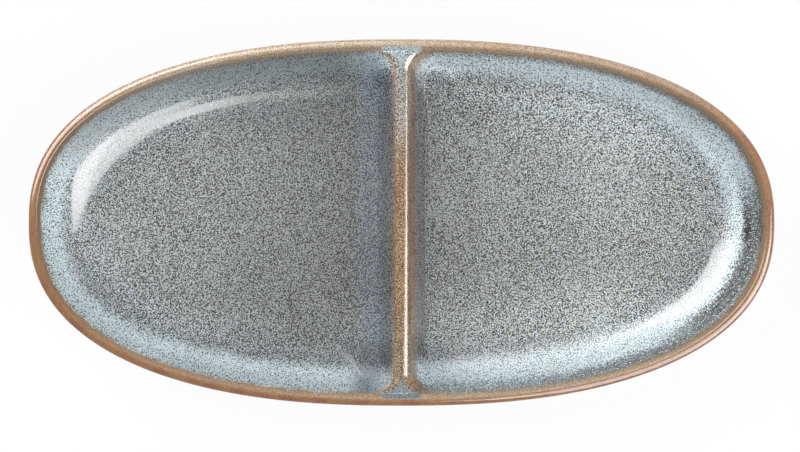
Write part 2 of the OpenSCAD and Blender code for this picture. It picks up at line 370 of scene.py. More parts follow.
def base_outline(depth):
    """Outline of the base round from the glaze line up to the outside wall."""
    return [base_point(lean, depth) for lean in np.linspace(GLAZE_LINE, OUTER_DRAFT, BASE_STEPS + 1)]


def outline_lengths(outline):
    """Running length along an outline."""
    steps = np.linalg.norm(np.diff(np.array(outline), axis=0), axis=1)
    return np.concatenate([[0], np.cumsum(steps)])


def well_edge(points):
    """Distance in plan of points in a well from its brim, with the corners rounded off."""
    x, y = np.abs(points[:, 0]), points[:, 1]
    from_divider = x - DIVIDER_HALF
    from_wall = oval_inset(x, y) - BRIM_INSET
    near = np.minimum(from_divider, from_wall)
    corner = CORNER_RADIUS + CORNER_GROWTH * np.maximum(near, 0)
    short = np.hypot(np.maximum(corner - from_divider, 0), np.maximum(corner - from_wall, 0))
    return np.where(near < corner, corner - short, near)


def arc_share(edge_distance, half, rise):
    """Share of the crest's height across it, on an arc that rises over half its width."""
    radius = (half ** 2 + rise ** 2) / (2 * rise)
    out = np.maximum(0, half - edge_distance)
    return 1 - (radius - np.sqrt(radius ** 2 - out ** 2)) / rise


def crest_rows(level, drop, flush=False):
    """Points over the divider at a level, row by row along it, and their distance from its sides.
    A flush crest keeps its height up to the lip."""
    side = divider_side(level)
    half = DIVIDER_HALF + level[2]
    rows, away = [], []
    for j, (reach, y) in enumerate(side):
        x = CREST_PLACES * reach
        e = reach - np.abs(x)
        at_wall = j in (0, len(side) - 1)
        ys = np.sign(y) * oval_y(BRIM_INSET + level[0], x) if at_wall else np.full(len(x), y)
        short = np.maximum(oval_y(BRIM_INSET, x) - np.abs(ys), 0)
        ramp = (1 - np.cos(math.pi * np.minimum(1, short / CORNER_RADIUS))) / 2
        lift = 0 if at_wall else DIVIDER_CROWN * ramp - drop
        if flush:
            lift = DIVIDER_CROWN
        rows.append(np.column_stack([x, ys, level[1] + lift * arc_share(e, half, DIVIDER_CROWN - drop)]))
        away.append(e)
    return np.array(rows), np.array(away)


# Value of a place that lies on no part of the divider's crest
NO_PATCH = -5.0


class Form:
    """Points, faces and values of one piece before it becomes a mesh."""

    def __init__(self):
        self.points = []
        self.faces = []
        self.front = []
        self.edge = []
        self.patch = []

    def add(self, points, edge, patch=NO_PATCH):
        """Adds points with their edge and patch values and returns the index of the first."""
        first = len(self.points)
        points = np.asarray(points, float).reshape(-1, 3)
        self.points.extend(points)
        self.edge.extend(np.broadcast_to(edge, len(points)))
        self.patch.extend(np.broadcast_to(patch, len(points)))
        return first

    def face(self, corners, front):
        """Adds one face, marked as a shown front or as a hidden back."""
        self.faces.append(corners)
        self.front.append(front)

    def strip(self, low, high, around, front):
        """Adds the faces between two loops."""
        for k in range(around):
            n = (k + 1) % around
            self.face((low + k, low + n, high + n, high + k), front)

    def fan(self, loop, around, middle, front, upward):
        """Adds the triangles between a loop and its middle point."""
        for k in range(around):
            n = (k + 1) % around
            self.face((loop + k, loop + n, middle) if upward else (loop + n, loop + k, middle), front)

    def mirrored(self):
        """The same form mirrored from the right to the left."""
        other = Form()
        other.points = [p * [-1, 1, 1] for p in self.points]
        other.faces = [tuple(reversed(f)) for f in self.faces]
        other.front = list(self.front)
        other.edge = list(self.edge)
        other.patch = list(self.patch)
        return other


def inner_rings(loop):
    """Copies of a flat loop that shrink towards its middle, and the middle point."""
    middle = loop.mean(0)
    shares = np.linspace(1, 0, FLOOR_RINGS + 1)[1:-1]
    return [middle + (loop - middle) * s for s in shares], middle


def stack_form(loops, fronts, edges):
    """Closed form through a stack of loops, with both ends filled by rings and a middle point.
    fronts says for each gap between loops whether it shows."""
    form = Form()
    below, low_middle = inner_rings(loops[0])
    above, high_middle = inner_rings(loops[-1])
    whole = below[::-1] + list(loops) + above
    shown = [False] * len(below) + list(fronts) + [True] * len(above)
    values = [edges[0]] * len(below) + list(edges) + [None] * len(above)
    around = len(loops[0])
    firsts = []
    for loop, value in zip(whole, values):
        firsts.append(form.add(loop, well_edge(loop) if value is None else value))
    for k in range(len(whole) - 1):
        form.strip(firsts[k], firsts[k + 1], around, shown[k])
    low = form.add(low_middle[None], edges[0] if np.isscalar(edges[0]) else 0)
    high = form.add(high_middle[None], well_edge(high_middle[None]))
    form.fan(firsts[0], around, low, False, False)
    form.fan(firsts[-1], around, high, True, True)
    return form


def ring_form(front_loops, back_loops, edges):
    """Closed ring of a shown front and a hidden back."""
    form = Form()
    around = len(front_loops[0])
    firsts = [form.add(loop, edge, lip_patch(loop, edge)) for loop, edge in zip(front_loops, edges)]
    firsts += [form.add(loop, edge) for loop, edge in zip(back_loops, edges[::-1])]
    for k in range(len(firsts)):
        shown = k < len(front_loops) - 1
        form.strip(firsts[k], firsts[(k + 1) % len(firsts)], around, shown)
    return form


def lining_form():
    """Coat of glaze that lines the right well."""
    back = [well_loop(level) for level in reversed(well_levels(GLAZE))]
    front = [well_loop(level) for level in well_levels(0)]
    fronts = [False] * len(back) + [True] * (len(front) - 1)
    return stack_form(back + front, fronts, [0.0] * len(back) + [well_edge(loop) for loop in front])


LIP_LENGTH = outline_lengths([skirt_point(0)] + bevelled_outline())[-1]
CREST_REACH = end_wall(BRIM_INSET, corner_turn(BRIM))[-1, 0]


def lip_patch(loop, edge):
    """How far points of the lip lie within the end of the divider's crest."""
    return CREST_REACH - np.abs(loop[:, 0]) - PATCH_FALL * max(0, -edge - PATCH_RUN)


def coat_form(front, back, edges):
    """Coat round the outside of the dish, from the outlines of its front and its back."""
    return ring_form([glaze_loop(p) for p in front], [clay_loop(p) for p in reversed(back)], edges)


def lip_form():
    """Coat over the lip, from the brim to the skirt outside."""
    front = [skirt_point(0)] + bevelled_outline()
    back = [skirt_point(GLAZE)] + lip_outline(GLAZE)
    return coat_form(front, back, list(outline_lengths(front) - LIP_LENGTH))


def outside_form():
    """Coat on the outside wall, from the glaze line up to the lip's coat."""
    front = base_outline(0) + [skirt_point(0)]
    back = base_outline(GLAZE) + [skirt_point(GLAZE)]
    lengths = outline_lengths(front)
    return coat_form(front, back, list(lengths - lengths[-1] - LIP_LENGTH))


def base_form():
    """Coat on the underside, within the foot ring."""
    inset = FOOT_INNER + BASE_MARGIN
    loops = [clay_loop((inset, z)) for z in (FOOT_HEIGHT - GLAZE, FOOT_HEIGHT)]
    return stack_form(loops, [True], [-2 * LIP_LENGTH] * 2)


def foot_form():
    """Bare ring of clay that stands on the table."""
    outline = [
        (FOOT_OUTER, FOOT_HEIGHT),
        (FOOT_OUTER, FOOT_BEVEL),
        (FOOT_OUTER + FOOT_BEVEL, 0),
        (FOOT_INNER - FOOT_BEVEL, 0),
        (FOOT_INNER, FOOT_BEVEL),
        (FOOT_INNER, FOOT_HEIGHT),
    ]
    loops = [clay_loop(p) for p in reversed(outline)]
    return ring_form(loops, [], [0.0] * len(loops))


def body_form():
    """Bowl of bare clay under the glaze."""
    bare = [base_point(lean, GLAZE) for lean in np.linspace(math.pi / 2, GLAZE_LINE, BARE_STEPS + 1)]
    outside = bare[:-1] + base_outline(GLAZE) + lip_outline(GLAZE)
    inside = well_levels(GLAZE)[1:]
    loops = [clay_loop(p) for p in outside]
    loops += [dish_loop(BRIM_INSET + level[0], corner_turn(level), level[1]) for level in inside]
    return stack_form(loops, [True] * (len(loops) - 1), [0.0] * len(loops))


def lattice_form(layers, edges):
    """Closed form inside the six sides of layers of rows of points, of which the first layer shows."""
    form = Form()
    rows, places = layers[0].shape[:2]
    firsts = [form.add(layer, np.ravel(edge), -np.ravel(edge)) for layer, edge in zip(layers, edges)]

    def at(i, j, q):
        return firsts[i] + j * places + q

    last, end, side = len(layers) - 1, rows - 1, places - 1
    for j in range(end):
        for q in range(side):
            n, r = j + 1, q + 1
            form.face((at(0, j, q), at(0, n, q), at(0, n, r), at(0, j, r)), True)
            form.face((at(last, j, q), at(last, j, r), at(last, n, r), at(last, n, q)), False)
    for i in range(last):
        m = i + 1
        for j in range(end):
            n = j + 1
            form.face((at(i, j, side), at(i, n, side), at(m, n, side), at(m, j, side)), False)
            form.face((at(i, j, 0), at(m, j, 0), at(m, n, 0), at(i, n, 0)), False)
        for q in range(side):
            r = q + 1
            form.face((at(i, 0, q), at(i, 0, r), at(m, 0, r), at(m, 0, q)), False)
            form.face((at(i, end, q), at(m, end, q), at(m, end, r), at(i, end, r)), False)
    return form


def crest_form():
    """Coat over the crest of the divider."""
    top, away = crest_rows(BRIM, 0)
    under, _ = crest_rows(CLAY_BRIM, CREST_DROP)
    return lattice_form([top, under], [-away, -away])


def divider_form():
    """Clay partition under the glaze."""
    top, away = crest_rows(CLAY_BRIM, CREST_DROP)
    layers = [top]
    for level in well_levels(GLAZE)[1:]:
        rows, _ = crest_rows(level, 0)
        rows[:, :, 2] = level[1]
        layers.append(rows)
    return lattice_form(layers, [-away] * len(layers))


def seam_keys(points):
    """Places of points, rounded so that they are the same on both sides of a seam."""
    return [tuple(key) for key in np.round(points * SEAM_GRID).astype(int)]


def shared_normals(forms):
    """Normals of the shown fronts, averaged across the seams between pieces."""
    total = {}
    for form in forms:
        points = np.array(form.points)
        keys = seam_keys(points)
        for corners, front in zip(form.faces, form.front):
            if not front:
                continue
            p = points[list(corners)]
            normal = np.cross(p[2] - p[0], p[3] - p[1]) if len(p) == 4 else np.cross(*(p[1:] - p[0]))
            for c in corners:
                total[keys[c]] = total.get(keys[c], 0) + normal
    return total


def smooth_step(share):
    """Smooth step from 0 to 1."""
    share = np.clip(share, 0, 1)
    return share * share * (3 - 2 * share)


def flush_normals():
    """Normals of the crest's top as if it ran level into the lip, with none along its outline."""
    rows, _ = crest_rows(BRIM, 0, flush=True)
    normals = np.cross(np.gradient(rows, axis=0), np.gradient(rows, axis=1))
    normals /= np.linalg.norm(normals, axis=2)[:, :, None]
    flat = np.clip((-rows[:, :, 1] - FLARE_START) / (FLARE_END - FLARE_START), 0, 1)
    flat *= rows[:, :, 0] < 0
    normals += flat[:, :, None] * (np.array([0, 0, 1]) - normals)
    normals /= np.linalg.norm(normals, axis=2)[:, :, None]
    normals[[0, -1]] = np.nan
    normals[:, [0, -1]] = np.nan
    return normals.reshape(-1, 3)


def creased(mesh, own):
    """Normals of each face's corners, where a face that bridges a sharp turn has its flatter side's."""
    normals = own[[loop.vertex_index for loop in mesh.loops]]
    for face in mesh.polygons:
        corners = slice(face.loop_start, face.loop_start + face.loop_total)
        upward = normals[corners, 2]
        if np.ptp(upward) > CREASE_TURN:
            normals[corners] = normals[corners][upward.argmax()]
    return normals


def tight_normals(points, normals):
    """Normals of a well whose rounds beside the divider turn from floor to wall in a narrow band, or
    all at once in the left well."""
    right = points[:, 0].mean() > 0
    steepest = math.pi / 2 - WALL_DRAFT
    tilt = np.arccos(np.clip(normals[:, 2], -1, 1))
    share = np.clip(tilt / steepest, *SHARE_LIMITS) ** ROUND_LIFT
    if right:
        narrow = steepest / (1 + (1 / share - 1) ** ROUND_POWER)
    else:
        narrow = steepest * (share > 0.5)
    flat = normals[:, :2]
    flat = flat / np.maximum(np.linalg.norm(flat, axis=1), LEAST_LENGTH)[:, None]
    near = smooth_step((TIGHT_END - np.abs(points[:, 0])) / (TIGHT_END - TIGHT_FULL))
    towards = np.degrees(np.arctan2(flat[:, 1], flat[:, 0]))
    if not right:
        towards %= 360
    rise, full, fall, none = TIGHT_RIGHT if right else TIGHT_LEFT
    facing = smooth_step((towards - rise) / (full - rise))
    facing *= smooth_step((towards - none) / (fall - none))
    turned = tilt + (narrow - tilt) * near * facing * (tilt < steepest)
    return np.column_stack([flat * np.sin(turned)[:, None], np.cos(turned)])


def add_object(name, data):
    """A new object in the scene."""
    new = bpy.data.objects.new(name, data)
    bpy.context.scene.collection.objects.link(new)
    return new


def make_piece(name, form, node, material, normals=None, sharp=None, tight=False, given=None):
    """Turns a form into an object that stands for a CAD node and rides on the dish. normals are those
    shared at seams, tight turns the rounds of a well sharply beside the divider, and given are normals
    for its first points."""
    mesh = bpy.data.meshes.new(name)
    points = np.array(form.points)
    mesh.from_pydata((points * MM).tolist(), [], form.faces)
    wall = oval_inset(points[:, 0], points[:, 1]) - BRIM_INSET
    for label, values in (("edge", form.edge), ("patch", form.patch), ("wall", wall)):
        data = mesh.attributes.new(label, "FLOAT", "POINT").data
        data.foreach_set("value", np.array(values, np.float32))
    mesh.polygons.foreach_set("use_smooth", [True] * len(mesh.polygons))
    mesh.update()
    if sharp is not None:
        mesh.set_sharp_from_angle(angle=sharp)
    if normals is not None:
        own = np.array([v.vector[:] for v in mesh.vertex_normals])
        for k, key in enumerate(seam_keys(points)):
            own[k] = normals.get(key, own[k])
        own /= np.linalg.norm(own, axis=1)[:, None]
        if tight:
            own = tight_normals(points, own)
        if given is not None:
            own[:len(given)] = np.where(np.isnan(given), own[:len(given)], given)
        if tight and points[:, 0].mean() < 0:
            mesh.normals_split_custom_set(creased(mesh, own).tolist())
        else:
            mesh.normals_split_custom_set_from_vertices(own.tolist())
    mesh.materials.append(material)
    piece = add_object(name, mesh)
    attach(piece, "root")
    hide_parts(node)


def srgb(r, g, b):
    """Linear colour of an 8-bit screen colour."""
    def linear(v):
        v /= 255
        return v / 12.92 if v <= 0.04045 else ((v + 0.055) / 1.055) ** 2.4
    return (linear(r), linear(g), linear(b), 1)


# Turn of the noise in radians, so that no flat face lies along its cells
GRAIN_TURN = (0.61, 0.43, 0.37)


def put(tree, socket, value):
    """Links a socket to another, or sets its value."""
    if isinstance(value, bpy.types.NodeSocket):
        tree.links.new(value, socket)
    else:
        socket.default_value = value


def add_node(tree, kind, inputs, **settings):
    """A new shader node with settings, and with inputs that are linked or set."""
    node = tree.nodes.new("ShaderNode" + kind)
    for name, value in settings.items():
        setattr(node, name, value)
    for socket, value in inputs.items():
        put(tree, node.inputs[socket], value)
    return node


class Graph:
    """Short names for the nodes of one material."""

    def __init__(self, name, upright=1.0):
        self.material = bpy.data.materials.new(name)
        self.material.use_nodes = True
        self.tree = self.material.node_tree
        self.place = self.node("TexCoord", {}).outputs["Object"]
        turn = {"Vector": self.place, "Rotation": GRAIN_TURN, "Scale": (1.0, 1.0, upright)}
        self.grain_place = self.node("Mapping", turn).outputs["Vector"]

    def node(self, kind, inputs, **settings):
        """A new node of the material."""
        return add_node(self.tree, kind, inputs, **settings)

    def show(self, name, value):
        """Links or sets one input of the material's shader."""
        put(self.tree, self.tree.nodes["Principled BSDF"].inputs[name], value)

    def axes(self):
        """X, Y and Z of the place, in metres."""
        return self.node("SeparateXYZ", {0: self.place}).outputs

    def attribute(self, name):
        """A value kept on the mesh's points."""
        return self.node("Attribute", {}, attribute_name=name).outputs["Fac"]

    def noise(self, scale, detail, roughness=0.5):
        """Noise from 0 to 1, with scale in cells a metre."""
        inputs = {"Vector": self.grain_place, "Scale": scale, "Detail": detail, "Roughness": roughness}
        return self.node("TexNoise", inputs).outputs["Fac"]

    def math(self, operation, a, b=0.0):
        """One operation on two numbers."""
        return self.node("Math", {0: a, 1: b}, operation=operation).outputs[0]

    def plus(self, first, *others):
        """Sum of numbers."""
        for other in others:
            first = self.math("ADD", first, other)
        return first

    def times(self, first, *others):
        """Product of numbers."""
        for other in others:
            first = self.math("MULTIPLY", first, other)
        return first

    def spread(self, noise, amount):
        """Noise as a shift to either side of zero."""
        return self.times(self.math("SUBTRACT", noise, 0.5), amount)

    def ease(self, value, low, high, to_low=0.0, to_high=1.0):
        """Smooth step from one value to another between two limits."""
        inputs = {"Value": value, "From Min": low, "From Max": high, "To Min": to_low, "To Max": to_high}
        return self.node("MapRange", inputs, interpolation_type="SMOOTHSTEP").outputs["Result"]

    def between(self, share, none, full):
        """Smooth step from one value to another as a share goes from 0 to 1."""
        return self.ease(share, 0.0, 1.0, none, full)

    def mix(self, share, a, b):
        """Colour between two others."""
        return self.node("Mix", {"Factor": share, "A": a, "B": b}, data_type="RGBA").outputs["Result"]

    def scaled(self, colour, factor):
        """Colour made lighter or darker by a factor."""
        return self.node("VectorMath", {0: colour, "Scale": factor}, operation="SCALE").outputs[0]

    def bump(self, height, distance, strength=1.0):
        """Normal of a surface with that height, times a distance in metres."""
        inputs = {"Height": height, "Distance": distance, "Strength": strength}
        return self.node("Bump", inputs).outputs["Normal"]


# Glaze colours, as they look on the screen
SPOT_GREY = srgb(42, 43, 38)
SPOT_OLIVE = srgb(68, 55, 24)
FLOOR_PALE = srgb(203, 210, 210)
FLOOR_BLUE = srgb(200, 212, 219)
WALL_SPOT = srgb(62, 72, 78)
WALL_PALE = srgb(230, 245, 250)
DIVIDER_BLUE = srgb(108, 130, 156)
CHARCOAL = srgb(26, 25, 23)
CHARCOAL_DOT = srgb(212, 216, 216)
RIM_BROWN = srgb(154, 108, 68)
RIM_RED = srgb(142, 90, 62)
RIM_OLIVE = srgb(140, 112, 76)
RIM_SAND = srgb(202, 187, 164)
RIM_GOLD = srgb(198, 148, 86)
BRIM_DARK = srgb(88, 84, 80)
CREST_GREY = srgb(132, 122, 110)
CREST_SAND = srgb(212, 178, 138)
CREST_PALE = srgb(196, 192, 184)
OUTSIDE_PALE = srgb(178, 190, 196)
CLAY_PALE = srgb(196, 166, 128)
CLAY_DARK = srgb(178, 144, 106)
CLAY_IRON = srgb(98, 68, 44)

# Index of refraction of each coat, and the scale of its grain upright: less than 1 where it ran down a wall
GLAZE_LOOKS = {
    "well_glaze": (1.6, 0.12),
    "edge_glaze": (1.5, 0.5),
    "crest_glaze": (1.6, 0.5),
    "outside_glaze": (1.5, 0.4),
}

# Scales of the noise in the glaze and in the clay, in cells a metre
SPECK_SCALE = 2750
TINT_SCALE = 560
MOTTLE_SCALE = 170
CLOUD_SCALE = 24
GRIT_SCALE = 1800
IRON_SCALE = 700
CLAY_CLOUD_SCALE = 45

# Roughness of the glaze's glass, of the pale crystals in it and of the clay
GLASS_ROUGH = 0.08
CRYSTAL_ROUGH = 0.50
CLAY_ROUGH = (0.74, 0.92)

# Relief of the glaze and of the clay in metres, how much more the mottle stands out than the specks,
# and the share of the clay's relief that shows
GLAZE_RELIEF = 0.000012
CLAY_RELIEF = 0.00012
MOTTLE_RELIEF = 2.0
CLAY_RELIEF_SHARE = 0.8

# How far boundaries wander with the mottle and break up with the specks, and those of the thin glaze,
# in millimetres, and how far the clouds shift the share of specks
MOTTLE_WANDER = 1.6
SPECK_WANDER = 2.4
THIN_WANDER = 4.0
CLOUD_SHIFT = 0.10

# Millimetres from the wall over which its glaze turns into the floor's and the floor's into olive, and
# how much wider the wall's glaze is on the near side and at the right end
FLOOR_RUN = (2.0, 9.5)
OLIVE_RUN = (9.0, 26.0)
RIGHT_WIDER = 3.5
LEFT_WIDER = 1.6

# Limits of the noise between dark specks and pale glaze, on the wall and on the floor, and how far the
# tint shifts to olive
SPECK_LOW = (0.26, 0.40)
SPECK_HIGH = (0.56, 0.62)
OLIVE_SHIFT = (-0.05, 0.07)

# Metres over which the wells part, the near side starts and the left end ends
MIDDLE = 0.004
NEAR_RUN = (0.010, -0.030)
LEFT_END_RUN = (-0.095, -0.060)

# Light and shade of the wells: on the floors, from the left to the right, and by side
FLOOR_SLANT = 0.4
LEFT_FLOOR = (0.70, 0.255)
LEFT_FAR_FLOOR = 0.72
LEFT_NEAR_FLOOR = 1.28
RIGHT_FLOOR = (0.445, 0.685)
RIGHT_FAR_FLOOR = 1.29
RIGHT_NEAR_FLOOR = 1.53

# On the walls, from the left end of the far wall to the divider, and by side
LEFT_FAR_WALL = (0.46, 0.31)
LEFT_NEAR_WALL = 0.86
RIGHT_FAR_WALL = 0.76
RIGHT_END_WALL = 0.84

# On the divider's sides, along it and in the corners, and in the blue strip beside it
LEFT_SIDE = 1.25
LEFT_FAR_CORNER = 1.9
LEFT_NEAR_CORNER = 0.48
RIGHT_SIDE = 0.57
RIGHT_CORNER = 1.1
STRIP_SHARE = 0.38
STRIP_TONE = 1.5

# How dark the thin glaze is, how far the brown is worn back right of the crest, and the brown's grain
CHARCOAL_SHARE = 0.96
WORN_BACK = 1.7
LIP_GRAIN = 0.30
CREST_GRAIN = 0.85

# In the colours below, places along x and y are in metres, and edge, patch and wall in millimetres


def well_sides(g, x, y):
    """Shares of the right well, of the left well and of the near side."""
    return g.ease(x, -MIDDLE, MIDDLE), g.ease(x, MIDDLE, -MIDDLE), g.ease(y, *NEAR_RUN)


def well_mottle(g, x, wall, sides, speck, tint, cloud):
    """Colour of the wells before light and shade, and their shares of floor and of pale glaze."""
    right, left, near = sides
    wider = g.plus(
        g.times(right, g.math("MAXIMUM", near, g.ease(x, 0.074, 0.104)), RIGHT_WIDER),
        g.times(left, near, g.ease(x, *LEFT_END_RUN), LEFT_WIDER))
    floor_share = g.ease(g.math("SUBTRACT", wall, wider), *FLOOR_RUN)
    shift = g.spread(cloud, CLOUD_SHIFT)
    low = g.plus(g.between(floor_share, *SPECK_LOW), shift)
    high = g.plus(g.between(floor_share, *SPECK_HIGH), shift)
    pale_share = g.ease(speck, low, high)
    olive = g.plus(tint, g.ease(wall, *OLIVE_RUN, *OLIVE_SHIFT))
    spot = g.mix(g.ease(olive, 0.50, 0.62), SPOT_GREY, SPOT_OLIVE)
    pale = g.mix(g.ease(olive, 0.34, 0.56), FLOOR_BLUE, FLOOR_PALE)
    spot = g.mix(floor_share, WALL_SPOT, spot)
    pale = g.mix(floor_share, WALL_PALE, pale)
    return g.mix(pale_share, spot, pale), floor_share, pale_share


def floor_tone(g, x, y, sides, strip):
    """Light and shade on the floors: darker towards the divider, in the left well most of all."""
    right, left, _ = sides
    slant = g.math("SUBTRACT", x, g.times(y, FLOOR_SLANT))
    left_tone = g.times(left, g.ease(slant, -0.112, -0.018, *LEFT_FLOOR))
    right_tone = g.times(
        right,
        g.ease(x, 0.010, 0.085, *RIGHT_FLOOR),
        g.ease(y, -0.012, -0.036, 1.0, RIGHT_NEAR_FLOOR),
        g.ease(y, 0.012, 0.036, 1.0, RIGHT_FAR_FLOOR))
    left_far = g.times(left, g.ease(y, 0.015, 0.044), g.ease(x, -0.085, -0.045), g.ease(x, -0.012, -0.024))
    left_near = g.times(left, g.ease(y, -0.020, -0.036))
    return g.times(
        g.plus(left_tone, right_tone),
        g.between(strip, 1.0, STRIP_TONE),
        g.between(left_far, 1.0, LEFT_FAR_FLOOR),
        g.between(left_near, 1.0, LEFT_NEAR_FLOOR))


def wall_tone(g, x, y, sides):
    """Light and shade on the walls: dull on the far side, most of all in the left well."""
    right, left, near = sides
    left_far = g.times(
        left, g.ease(y, -0.006, 0.040), g.ease(x, -0.126, -0.100), g.ease(x, -0.008, -0.026, 0.6, 1.0))
    left_near = g.times(left, near, g.ease(x, *LEFT_END_RUN))
    right_far = g.times(right, g.ease(y, 0.018, 0.044))
    right_end = g.times(g.ease(x, 0.080, 0.100), g.ease(y, -0.002, 0.010))
    return g.times(
        g.between(left_far, 1.0, g.ease(x, -0.095, -0.055, *LEFT_FAR_WALL)),
        g.between(right_far, 1.0, RIGHT_FAR_WALL),
        g.between(left_near, 1.0, LEFT_NEAR_WALL),
        g.between(right_end, 1.0, RIGHT_END_WALL))


def beside_tone(g, x, y, sides):
    """Light and shade on the divider's sides and in the corners beside it."""
    right, left, _ = sides
    from_middle = g.math("ABSOLUTE", x)
    corner = g.ease(g.math("ABSOLUTE", y), 0.040, 0.047)
    far_corner = g.ease(y, 0.032, 0.045)
    near_corner = g.times(g.ease(y, -0.034, -0.044), g.ease(x, -0.021, -0.010))
    reach = g.between(far_corner, 0.0130, 0.0200)
    left_side = g.ease(from_middle, 0.0070, reach, g.between(far_corner, LEFT_SIDE, LEFT_FAR_CORNER), 1.0)
    right_side = g.ease(from_middle, 0.0072, 0.0092, g.between(corner, RIGHT_SIDE, RIGHT_CORNER), 1.0)
    return g.plus(
        g.times(left, left_side, g.between(near_corner, 1.0, LEFT_NEAR_CORNER)),
        g.times(right, right_side))


def thin_share(g, x, y, wall, sides, speck):
    """Where the glaze of the right well is thin: below the rim at its end and on the near side."""
    right, _, near = sides
    depth = g.plus(wall, g.spread(speck, THIN_WANDER))
    end = g.times(g.ease(x, 0.078, 0.100), g.ease(y, 0.020, 0.000), g.ease(depth, 5.6, 3.8))
    lower = g.times(right, near, g.ease(depth, 3.8, 1.4), g.ease(x, 0.03, 0.08, 0.6, 0.95))
    return g.math("MAXIMUM", end, lower)


def well_colour(g, x, y, wall, speck, tint, cloud):
    """Glaze of the wells: pale blue with few specks on the walls, densely mottled grey on the floor and
    charcoal where it is thin, with painted light and shade on the floors, the walls and the divider's
    sides. Gives its shares of pale glaze and of matt crystals too."""
    sides = well_sides(g, x, y)
    _, left, _ = sides
    colour, floor_share, pale_share = well_mottle(g, x, wall, sides, speck, tint, cloud)
    strip = g.times(left, g.ease(x, -0.017, -0.012), g.ease(x, -0.0055, -0.0075))
    colour = g.mix(g.times(strip, STRIP_SHARE), colour, DIVIDER_BLUE)
    tone = g.between(floor_share, wall_tone(g, x, y, sides), floor_tone(g, x, y, sides, strip))
    colour = g.scaled(colour, g.times(tone, beside_tone(g, x, y, sides)))
    thin = thin_share(g, x, y, wall, sides, speck)
    charcoal = g.mix(g.ease(speck, 0.58, 0.65), CHARCOAL, CHARCOAL_DOT)
    crystal = g.times(pale_share, g.between(thin, 1.0, 0.0))
    return g.mix(g.times(thin, CHARCOAL_SHARE), colour, charcoal), pale_share, crystal


def lip_colour(g, x, y, edge, inside, speck, mottle):
    """Thin brown glaze over the lip: rusty at the ends, olive inside, sandy on the far side."""
    brown = g.mix(g.ease(mottle, 0.40, 0.62), RIM_BROWN, RIM_RED)
    brown = g.mix(g.times(inside, g.ease(edge, 0.8, 0.0), 0.7), brown, RIM_OLIVE)
    far = g.times(g.ease(y, 0.022, 0.054), g.between(inside, 1.0, 0.6), g.ease(x, -0.02, 0.06, 1.0, 0.75))
    near = g.times(g.ease(y, -0.024, -0.050), inside, g.ease(x, -0.090, 0.030, 0.28, 0.62))
    sandy = g.times(
        g.plus(far, near), g.ease(mottle, 0.25, 0.75, 0.7, 1.0), g.ease(speck, 0.3, 0.6, 0.5, 1.0))
    return g.mix(g.plus(sandy, g.ease(x, 0.095, 0.116, 0.0, 0.07)), brown, RIM_SAND)


def lip_tone(g, x, y, edge, inside):
    """Light and shade on the lip, which differ outside and inside."""
    outer = g.ease(y, -0.030, 0.030, 0.84, 1.10)
    inner = g.ease(y, -0.030, 0.030, 1.05, 0.70)
    return g.times(
        g.between(inside, outer, inner),
        g.ease(edge, -1.6, -0.2, 1.0, 0.85),
        g.ease(x, -0.116, -0.095, 0.93, 1.0),
        g.ease(g.math("ABSOLUTE", x), 0.016, 0.010, 1.0, g.ease(edge, -0.3, 0.6, 1.0, 0.8)))


def crest_colour(g, y, patch, on_crest, brown, speck):
    """Brown glaze over the crest: specks of sand, paler towards the far end, and golden flares."""
    top = g.ease(y, 0.012, 0.034)
    flare = g.times(on_crest, g.ease(g.math("ABSOLUTE", y), 0.044, 0.050), g.ease(patch, 2.6, 1.6))
    brown = g.mix(g.times(flare, g.ease(y, -0.02, 0.02, 0.4, 0.8)), brown, RIM_GOLD)
    middle = g.times(on_crest, g.ease(patch, 0.4, 1.6))
    brown = g.mix(g.times(middle, g.ease(y, 0.024, 0.042), 0.85), brown, CREST_GREY)
    sand_share = g.times(middle, g.ease(speck, g.between(top, 0.46, 0.34), 0.64))
    sand = g.mix(top, CREST_SAND, CREST_PALE)
    return g.mix(g.times(sand_share, g.between(top, 0.66, 0.95)), brown, sand)


def edge_colour(g, x, y, edge, patch, wall, speck, mottle):
    """Thin brown glaze over the lip and the crest, with light and shade and its grain."""
    inside = g.ease(edge, -3.6, -1.8)
    on_crest = g.times(g.ease(patch, -0.5, 0.5), g.ease(wall, -0.6, 0.4))
    brown = lip_colour(g, x, y, edge, inside, speck, mottle)
    brown = crest_colour(g, y, patch, on_crest, brown, speck)
    crest_tone = g.ease(y, -0.045, -0.015, 0.53, 0.655)
    brown = g.scaled(brown, g.between(on_crest, lip_tone(g, x, y, edge, inside), crest_tone))
    grain = g.times(g.ease(speck, 0.2, 0.8, -1.0, 1.0), g.between(on_crest, LIP_GRAIN, CREST_GRAIN))
    return g.scaled(brown, g.plus(1.0, grain))


def brim_share(g, x, y, run):
    """Dark line where the brown ends at the brim, fainter on the near side, and none at the divider."""
    return g.times(
        g.ease(run, -1.3, -0.2),
        g.ease(run, 1.4, 0.2),
        g.ease(x, 0.03, 0.09, 0.50, 0.80),
        g.ease(y, -0.02, 0.01, 0.35, 1.0),
        g.ease(g.math("ABSOLUTE", x), 0.006, 0.016))


